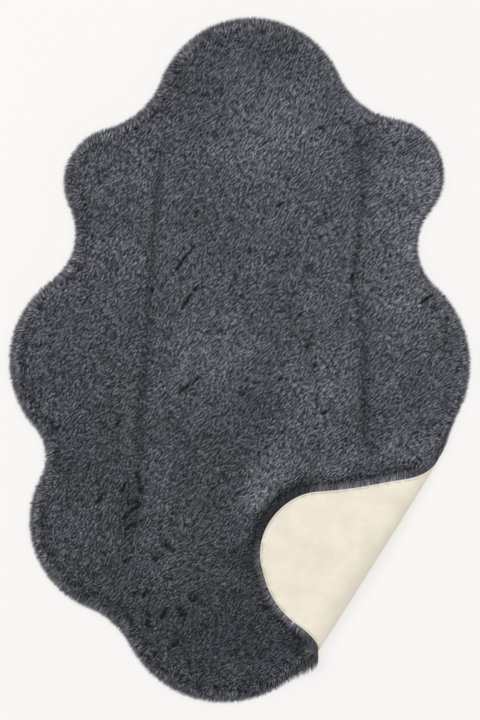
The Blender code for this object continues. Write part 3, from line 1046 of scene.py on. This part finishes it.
def joined(lots):
    """Several lots of seeds as one."""
    return Seeds(*(np.concatenate(parts) for parts in zip(*lots)))


def fill(tree, socket, value):
    """Link an input to another node's socket, or set it to a plain value."""
    if isinstance(value, bpy.types.NodeSocket):
        tree.links.new(value, socket)
    else:
        socket.default_value = value


def fill_inputs(tree, node, inputs):
    """Fill a node's inputs by name, with _ for each space in a name."""
    for name, value in inputs.items():
        fill(tree, node.inputs[name.replace("_", " ")], value)


def add_node(tree, kind, settings=(), **inputs):
    """A new node of this kind, with these settings and inputs."""
    node = tree.nodes.new(kind)
    for name, value in dict(settings).items():
        setattr(node, name, value)
    fill_inputs(tree, node, inputs)
    return node


def strand_nodes():
    """Geometry nodes that plant one three-sided tapering strand on every seed."""
    tree = bpy.data.node_groups.new("plant_strands", "GeometryNodeTree")
    for direction in ("INPUT", "OUTPUT"):
        tree.interface.new_socket("Geometry", in_out=direction, socket_type="NodeSocketGeometry")

    def seed_value(name, kind):
        value = add_node(tree, "GeometryNodeInputNamedAttribute", {"data_type": kind}, Name=name)
        return value.outputs["Attribute"]

    strand = add_node(
        tree, "GeometryNodeMeshCone", {"fill_type": "NONE"},
        Vertices=STRAND_SIDES, Radius_Bottom=0.5, Radius_Top=0.0, Depth=1.0)
    position = add_node(tree, "GeometryNodeInputPosition")
    split = add_node(tree, "ShaderNodeSeparateXYZ", Vector=position.outputs["Position"])
    marked = add_node(
        tree, "GeometryNodeStoreNamedAttribute",
        Geometry=strand.outputs["Mesh"], Name="tip", Value=split.outputs["Z"])
    roll = add_node(
        tree, "FunctionNodeAxisAngleToRotation",
        Axis=(0.0, 0.0, 1.0), Angle=seed_value("roll", "FLOAT"))
    align = add_node(
        tree, "FunctionNodeAlignRotationToVector", {"axis": "Z"},
        Vector=seed_value("lay", "FLOAT_VECTOR"))
    turn = add_node(
        tree, "FunctionNodeRotateRotation", {"rotation_space": "LOCAL"},
        Rotation=align.outputs["Rotation"], Rotate_By=roll.outputs["Rotation"])
    seeds = add_node(tree, "NodeGroupInput")
    planted = add_node(
        tree, "GeometryNodeInstanceOnPoints",
        Points=seeds.outputs["Geometry"], Instance=marked.outputs["Geometry"],
        Rotation=turn.outputs["Rotation"], Scale=seed_value("size", "FLOAT_VECTOR"))
    real = add_node(
        tree, "GeometryNodeRealizeInstances", Geometry=planted.outputs["Instances"])
    add_node(tree, "NodeGroupOutput", Geometry=real.outputs["Geometry"])
    return tree


def lay_out_strands(mesh, count):
    """A bake map with one cell for each strand, in which its sides lie side by side."""
    heights = [mesh.attributes["tip"].data[corner].value for corner in range(STRAND_CORNERS)]
    top = heights.index(max(heights))
    pattern = []
    for side, face in enumerate(mesh.polygons[:STRAND_SIDES]):
        left = CELL_MARGIN + CELL_SIDE * side
        spots = [
            (left + 0.5 * CELL_SIDE, 1.0 - CELL_MARGIN),
            (left, CELL_MARGIN),
            (left + CELL_SIDE, CELL_MARGIN),
        ]
        after = list(face.vertices).index(top)
        pattern += spots[-after:] + spots[:-after]
    cells = math.ceil(math.sqrt(count))
    number = np.arange(count)
    corner = np.column_stack((number % cells, number // cells))
    places = (corner[:, None, :] + np.array(pattern)[None, :, :]) / cells
    layer = mesh.uv_layers.new(name=BAKE_MAP, do_init=False)
    layer.uv.foreach_set("vector", places.ravel().astype(np.float32))


def plant_strands(name, seeds, tree, random):
    """Grow the strands of one piece on its flat seeds, then fold them with the cloth."""
    bed = bpy.data.meshes.new(name)
    bed.vertices.add(len(seeds.root))
    bed.vertices.foreach_set("co", seeds.root.ravel())
    length = np.linalg.norm(seeds.lay, axis=1)
    size = np.column_stack((seeds.width, seeds.width, length))
    values = {
        "lay": ("FLOAT_VECTOR", "vector", seeds.lay),
        "size": ("FLOAT_VECTOR", "vector", size),
        "roll": ("FLOAT", "value", random.uniform(0.0, TURN, len(length))),
        "tint": ("FLOAT", "value", seeds.tint),
    }
    for label, (kind, field, numbers) in values.items():
        bed.attributes.new(label, kind, "POINT").data.foreach_set(field, numbers.ravel())
    planter = add_object(name + "_seeds", bed)
    planter.modifiers.new("strands", "NODES").node_group = tree
    evaluated = planter.evaluated_get(bpy.context.evaluated_depsgraph_get())
    mesh = bpy.data.meshes.new_from_object(evaluated)
    bpy.data.objects.remove(planter)
    bpy.data.meshes.remove(bed)
    for label in ("lay", "size", "roll"):
        mesh.attributes.remove(mesh.attributes[label])
    # The pale share takes that much of the painted shade away from the root end of each strand
    pale = np.repeat(seeds.pale, STRAND_CORNERS)
    tip = np.empty(len(mesh.vertices))
    mesh.attributes["tip"].data.foreach_get("value", tip)
    mesh.attributes["tip"].data.foreach_set("value", pale + (1.0 - pale) * tip)
    lay_out_strands(mesh, len(length))
    flat = np.empty(3 * len(mesh.vertices))
    mesh.vertices.foreach_get("co", flat)
    flat = flat.reshape(-1, 3)
    folded = fold_over(flat) + lean_of_fold_tip(flat[:, :2]) + FRAME_SHIFT
    mesh.vertices.foreach_set("co", folded.ravel())
    mesh.update()
    mesh.name = name
    return mesh


def make_pile(pile):
    """All the strands, in bands across the rug so that no piece grows too heavy."""
    random = np.random.default_rng(PILE_SEED)
    field = field_seeds(pile, random)
    rim = [rim_row_seeds(number, row, pile, random) for number, row in enumerate(RIM_ROWS)]
    seeds = joined([field, *rim])
    order = np.argsort(seeds.root[:, 1])
    material = pile_material(pile)
    tree = strand_nodes()
    pieces = []
    for number, band in enumerate(np.array_split(order, PILE_BANDS), start=1):
        chosen = Seeds(*(value[band] for value in seeds))
        piece = add_piece(plant_strands(f"pile_band_{number}", chosen, tree, random), material)
        pieces.append(piece)
    bpy.data.node_groups.remove(tree)
    return pieces


# -------------------------------------------------------------- materials

# How the cooler places in the pile tint its colour
COOL_TINT = (0.985, 1.0, 1.04, 1.0)

# Sockets of a colour mix: its factor and two colours, and its result
MIX_INPUTS = (0, 6, 7)
MIX_RESULT = 2


class Maker:
    """A new node material, with short ways to add the nodes that its shader needs."""

    def __init__(self, name):
        self.material = bpy.data.materials.new(name)
        self.material.use_nodes = True
        self.tree = self.material.node_tree

    def noise(self, scale, detail):
        """Noise that sits still in the object, from 0 to 1."""
        place = add_node(self.tree, "ShaderNodeTexCoord").outputs["Object"]
        texture = add_node(
            self.tree, "ShaderNodeTexNoise", Vector=place, Scale=scale, Detail=detail)
        return texture.outputs["Fac"]

    def named_value(self, name):
        """A value that the mesh holds under this name."""
        value = add_node(self.tree, "ShaderNodeAttribute", {"attribute_name": name})
        return value.outputs["Fac"]

    def ramp(self, value, start, end, low=0.0, high=1.0):
        """A number moved from one range to another, held inside it."""
        stretch = add_node(
            self.tree, "ShaderNodeMapRange", Value=value,
            From_Min=start, From_Max=end, To_Min=low, To_Max=high)
        return stretch.outputs["Result"]

    def mixed(self, factor, first, second, blend="MIX"):
        mix = add_node(self.tree, "ShaderNodeMix", {"data_type": "RGBA", "blend_type": blend})
        for number, value in zip(MIX_INPUTS, (factor, first, second)):
            fill(self.tree, mix.inputs[number], value)
        return mix.outputs[MIX_RESULT]

    def times(self, first, second):
        return self.mixed(1.0, first, second, blend="MULTIPLY")

    def total(self, first, second):
        total = add_node(self.tree, "ShaderNodeMath", {"operation": "ADD"})
        for socket, value in zip(total.inputs, (first, second)):
            fill(self.tree, socket, value)
        return total.outputs["Value"]

    def bump(self, height, strength, distance):
        bump = add_node(
            self.tree, "ShaderNodeBump", Height=height, Strength=strength, Distance=distance)
        return bump.outputs["Normal"]

    def finish(self, colour, roughness, **inputs):
        """The material, with its shader's inputs filled."""
        inputs.update(Base_Color=colour, Roughness=roughness, Metallic=0.0)
        fill_inputs(self.tree, self.tree.nodes["Principled BSDF"], inputs)
        return self.material


def darker(colour, share):
    """This share of a colour, left opaque."""
    return tuple(share * value for value in colour[:3]) + (1.0,)


def pile_material(pile):
    """Fibres painted dark towards the root, as painted shade deep in the pile, and paler and bluer
    at the tip.
    """
    make = Maker("plush_pile")
    tip = make.ramp(make.named_value("tip"), start=0.25, end=0.90)
    length = make.mixed(tip, pile.root_shade_color, pile.tip_color)
    cool = make.ramp(make.noise(scale=7.0, detail=3.0), start=0.40, end=0.62)
    colour = make.mixed(cool, length, make.times(length, COOL_TINT))
    return make.finish(
        make.times(colour, make.named_value("tint")), roughness=0.78,
        Sheen_Weight=0.06, Sheen_Roughness=0.5, Specular_IOR_Level=0.25)


def undercoat_material(pile):
    """The dense lower pile, seen only between the strands, coloured near black as painted shade
    deep in the pile.
    """
    make = Maker("plush_undercoat")
    fleck = make.noise(scale=420.0, detail=2.0)
    return make.finish(
        make.mixed(fleck, darker(pile.root_shade_color, 0.6), pile.root_shade_color), roughness=0.95,
        Normal=make.bump(fleck, strength=0.6, distance=0.002))


def suede_material(suede):
    """Brushed cream suede: a faint cloudy nap, fine grain and a soft sheen."""
    make = Maker("backing_suede")
    cloudy = make.noise(scale=26.0, detail=4.0)
    grain = make.noise(scale=650.0, detail=3.0)
    nap = make.ramp(cloudy, start=0.32, end=0.68)
    colour = make.mixed(nap, suede.nap_color, suede.suede_color)
    light = make.ramp(grain, start=0.3, end=0.7, low=0.955, high=1.03)
    return make.finish(
        make.times(colour, light), roughness=0.9, Sheen_Weight=0.15, Specular_IOR_Level=0.2,
        Normal=make.bump(make.total(grain, cloudy), strength=0.35, distance=0.0006))


def thread_material(suede):
    """Sewing thread with a fine twist."""
    make = Maker("topstitch_thread")
    twist = make.noise(scale=1800.0, detail=1.0)
    colour = make.mixed(twist, darker(suede.thread_color, 0.7), suede.thread_color)
    return make.finish(colour, roughness=0.6)


def floor_material(stage):
    """A pale floor lit a little from below, so that shadows on it stay light."""
    return Maker("studio_floor").finish(
        stage.floor_color, roughness=0.9, Specular_IOR_Level=0.0,
        Emission_Color=stage.glow_color, Emission_Strength=stage.floor_glow)


# ------------------------------------------------------------------ stage

FLOOR_DROP = 0.0002
KEY_LIGHT_PLACE = (-1.0, 1.0, 6.0)
KEY_LIGHT_SIZE = 3.5
SENSOR_HEIGHT = 24.0


def make_floor(stage):
    bm = bmesh.new()
    bmesh.ops.create_grid(bm, x_segments=1, y_segments=1, size=stage.floor_size)
    for vert in bm.verts:
        vert.co.z = -FLOOR_DROP
    mesh = mesh_from(bm, "studio_floor")
    mesh.materials.append(floor_material(stage))
    add_object("studio_floor", mesh)


def make_key_light(stage):
    """One large soft lamp that looks at the middle of the rug."""
    light = bpy.data.lights.new("key_light", "AREA")
    light.shape = "SQUARE"
    light.size = KEY_LIGHT_SIZE
    light.energy = stage.key_power
    lamp = add_object("key_light", light)
    lamp.location = KEY_LIGHT_PLACE
    lamp.rotation_euler = (-lamp.location).to_track_quat("-Z", "Y").to_euler()


def make_camera(stage):
    """A long lens that looks straight down on the rug."""
    data = bpy.data.cameras.new("overhead_camera")
    data.type = "PERSP"
    data.sensor_fit = "VERTICAL"
    data.sensor_height = SENSOR_HEIGHT
    data.lens = data.sensor_height * stage.camera_height / stage.view_length
    camera = add_object("overhead_camera", data)
    camera.location = (stage.view_centre_x, stage.view_centre_y, stage.camera_height)
    bpy.context.scene.camera = camera


def make_world(stage):
    world = bpy.data.worlds.new("soft_room")
    world.use_nodes = True
    background = world.node_tree.nodes["Background"]
    background.inputs["Color"].default_value = (1.0, 1.0, 1.0, 1.0)
    background.inputs["Strength"].default_value = stage.room_strength
    bpy.context.scene.world = world


# ----------------------------------------------------------------- add-on

def number_property(label, about, value, **how):
    return bpy.props.FloatProperty(name=label, description=about, default=value, **how)


def length_property(label, about, size):
    return number_property(label, about, size, min=0.0, precision=4, unit="LENGTH")


def angle_property(label, about, degrees):
    return number_property(label, about, math.radians(degrees), subtype="ANGLE")


def colour_property(label, about, colour):
    return bpy.props.FloatVectorProperty(
        name=label, description=about, default=(*colour, 1.0), size=4,
        min=0.0, max=1.0, subtype="COLOR")


class PLUSHRUG_PG_pile(bpy.types.PropertyGroup):
    strand_pitch: length_property("Strand pitch", "Distance between neighbouring strands", 0.00167)
    strand_width: length_property("Strand width", "Width of a strand at its root", 0.00126)
    strand_jitter: number_property("Jitter", "How far a strand strays from an even pattern", 0.42)
    strand_lean: angle_property("Lean", "Angle of a strand from upright", 38.0)
    lay_heading: angle_property("Lay", "Heading in which the pile lies, from the X axis", 46.0)
    # The root colour is painted shade: the fibres are coloured dark where they stand deep in the
    # pile
    root_shade_color: colour_property("Root", "Colour of the fibres at the root", (0.012, 0.012, 0.014))
    tip_color: colour_property("Tip", "Colour of the fibres at the tip", (0.870, 0.890, 0.988))


class PLUSHRUG_PG_suede(bpy.types.PropertyGroup):
    stitch_pitch: length_property("Stitch pitch", "From one stitch to the next", 0.0046)
    stitch_length: length_property("Stitch length", "Length of thread that shows", 0.0034)
    thread_width: length_property("Thread width", "Width of the sewing thread", 0.0008)
    suede_color: colour_property("Suede", "Colour of the suede", (0.915, 0.858, 0.722))
    nap_color: colour_property(
        "Nap", "Colour where the nap lies the other way", (0.825, 0.765, 0.635))
    thread_color: colour_property("Thread", "Colour of the topstitch", (0.30, 0.22, 0.15))


class PLUSHRUG_PG_stage(bpy.types.PropertyGroup):
    floor_size: length_property("Floor", "Half the width of the studio floor", 12.0)
    floor_color: colour_property("Floor colour", "Colour of the studio floor", (0.37, 0.365, 0.36))
    glow_color: colour_property("Glow colour", "Colour of the light from below", (1.0, 0.99, 0.975))
    floor_glow: number_property("Glow", "Strength of the floor's light from below", 0.58)
    camera_height: length_property("Camera height", "Height of the lens over the floor", 5.0)
    view_length: length_property("View length", "Length of floor that the picture takes in", 1.2456)
    view_centre_x: number_property(
        "View centre X", "Middle of the picture, across", 0.0, unit="LENGTH")
    view_centre_y: number_property(
        "View centre Y", "Middle of the picture, along", 0.0, unit="LENGTH")
    room_strength: number_property("Room light", "Strength of the light from all round", 0.60)
    key_power: number_property(
        "Key light", "Power of the large soft lamp", 165.0, unit="POWER")


class PLUSHRUG_OT_backing(bpy.types.Operator):
    """Make the suede backing and its topstitch"""
    bl_idname = "plushrug.backing"
    bl_label = "Suede Backing"

    def execute(self, context):
        suede = context.scene.plushrug_suede
        backing = make_backing(suede)
        stitches = make_topstitch(suede)
        size, area = flat_size()
        return {"FINISHED"}


class PLUSHRUG_OT_plush(bpy.types.Operator):
    """Make the plush cloth: its undercoat and all the strands of its pile"""
    bl_idname = "plushrug.plush"
    bl_label = "Plush Pile"

    def execute(self, context):
        pile = context.scene.plushrug_pile
        coat = make_undercoat(pile)
        bands = make_pile(pile)
        size, area = flat_size()
        return {"FINISHED"}


class PLUSHRUG_OT_stage(bpy.types.Operator):
    """Make the pale floor, the soft light and the overhead camera"""
    bl_idname = "plushrug.stage"
    bl_label = "Studio"

    def execute(self, context):
        stage = context.scene.plushrug_stage
        make_floor(stage)
        make_world(stage)
        make_key_light(stage)
        make_camera(stage)
        context.scene.view_settings.view_transform = "Standard"
        return {"FINISHED"}


class PLUSHRUG_PT_panel(bpy.types.Panel):
    bl_idname = "PLUSHRUG_PT_panel"
    bl_label = "Plush Rug"
    bl_space_type = "VIEW_3D"
    bl_region_type = "UI"
    bl_category = "Plush Rug"

    def draw(self, context):
        scene = context.scene
        sections = (
            (PLUSHRUG_OT_backing, scene.plushrug_suede),
            (PLUSHRUG_OT_plush, scene.plushrug_pile),
            (PLUSHRUG_OT_stage, scene.plushrug_stage),
        )
        for operator, settings in sections:
            box = self.layout.box()
            for name in settings.__annotations__:
                box.prop(settings, name)
            box.operator(operator.bl_idname)


CLASSES = (
    PLUSHRUG_PG_pile,
    PLUSHRUG_PG_suede,
    PLUSHRUG_PG_stage,
    PLUSHRUG_OT_backing,
    PLUSHRUG_OT_plush,
    PLUSHRUG_OT_stage,
    PLUSHRUG_PT_panel,
)
SETTINGS = {
    "plushrug_pile": PLUSHRUG_PG_pile,
    "plushrug_suede": PLUSHRUG_PG_suede,
    "plushrug_stage": PLUSHRUG_PG_stage,
}


def register():
    for cls in CLASSES:
        bpy.utils.register_class(cls)
    for name, group in SETTINGS.items():
        setattr(bpy.types.Scene, name, bpy.props.PointerProperty(type=group))


def unregister():
    for name in SETTINGS:
        delattr(bpy.types.Scene, name)
    for cls in reversed(CLASSES):
        bpy.utils.unregister_class(cls)


def main():
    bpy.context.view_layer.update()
    register()
    bpy.ops.plushrug.stage()
    bpy.ops.plushrug.backing()
    bpy.ops.plushrug.plush()


if __name__ == "__main__":
    main()
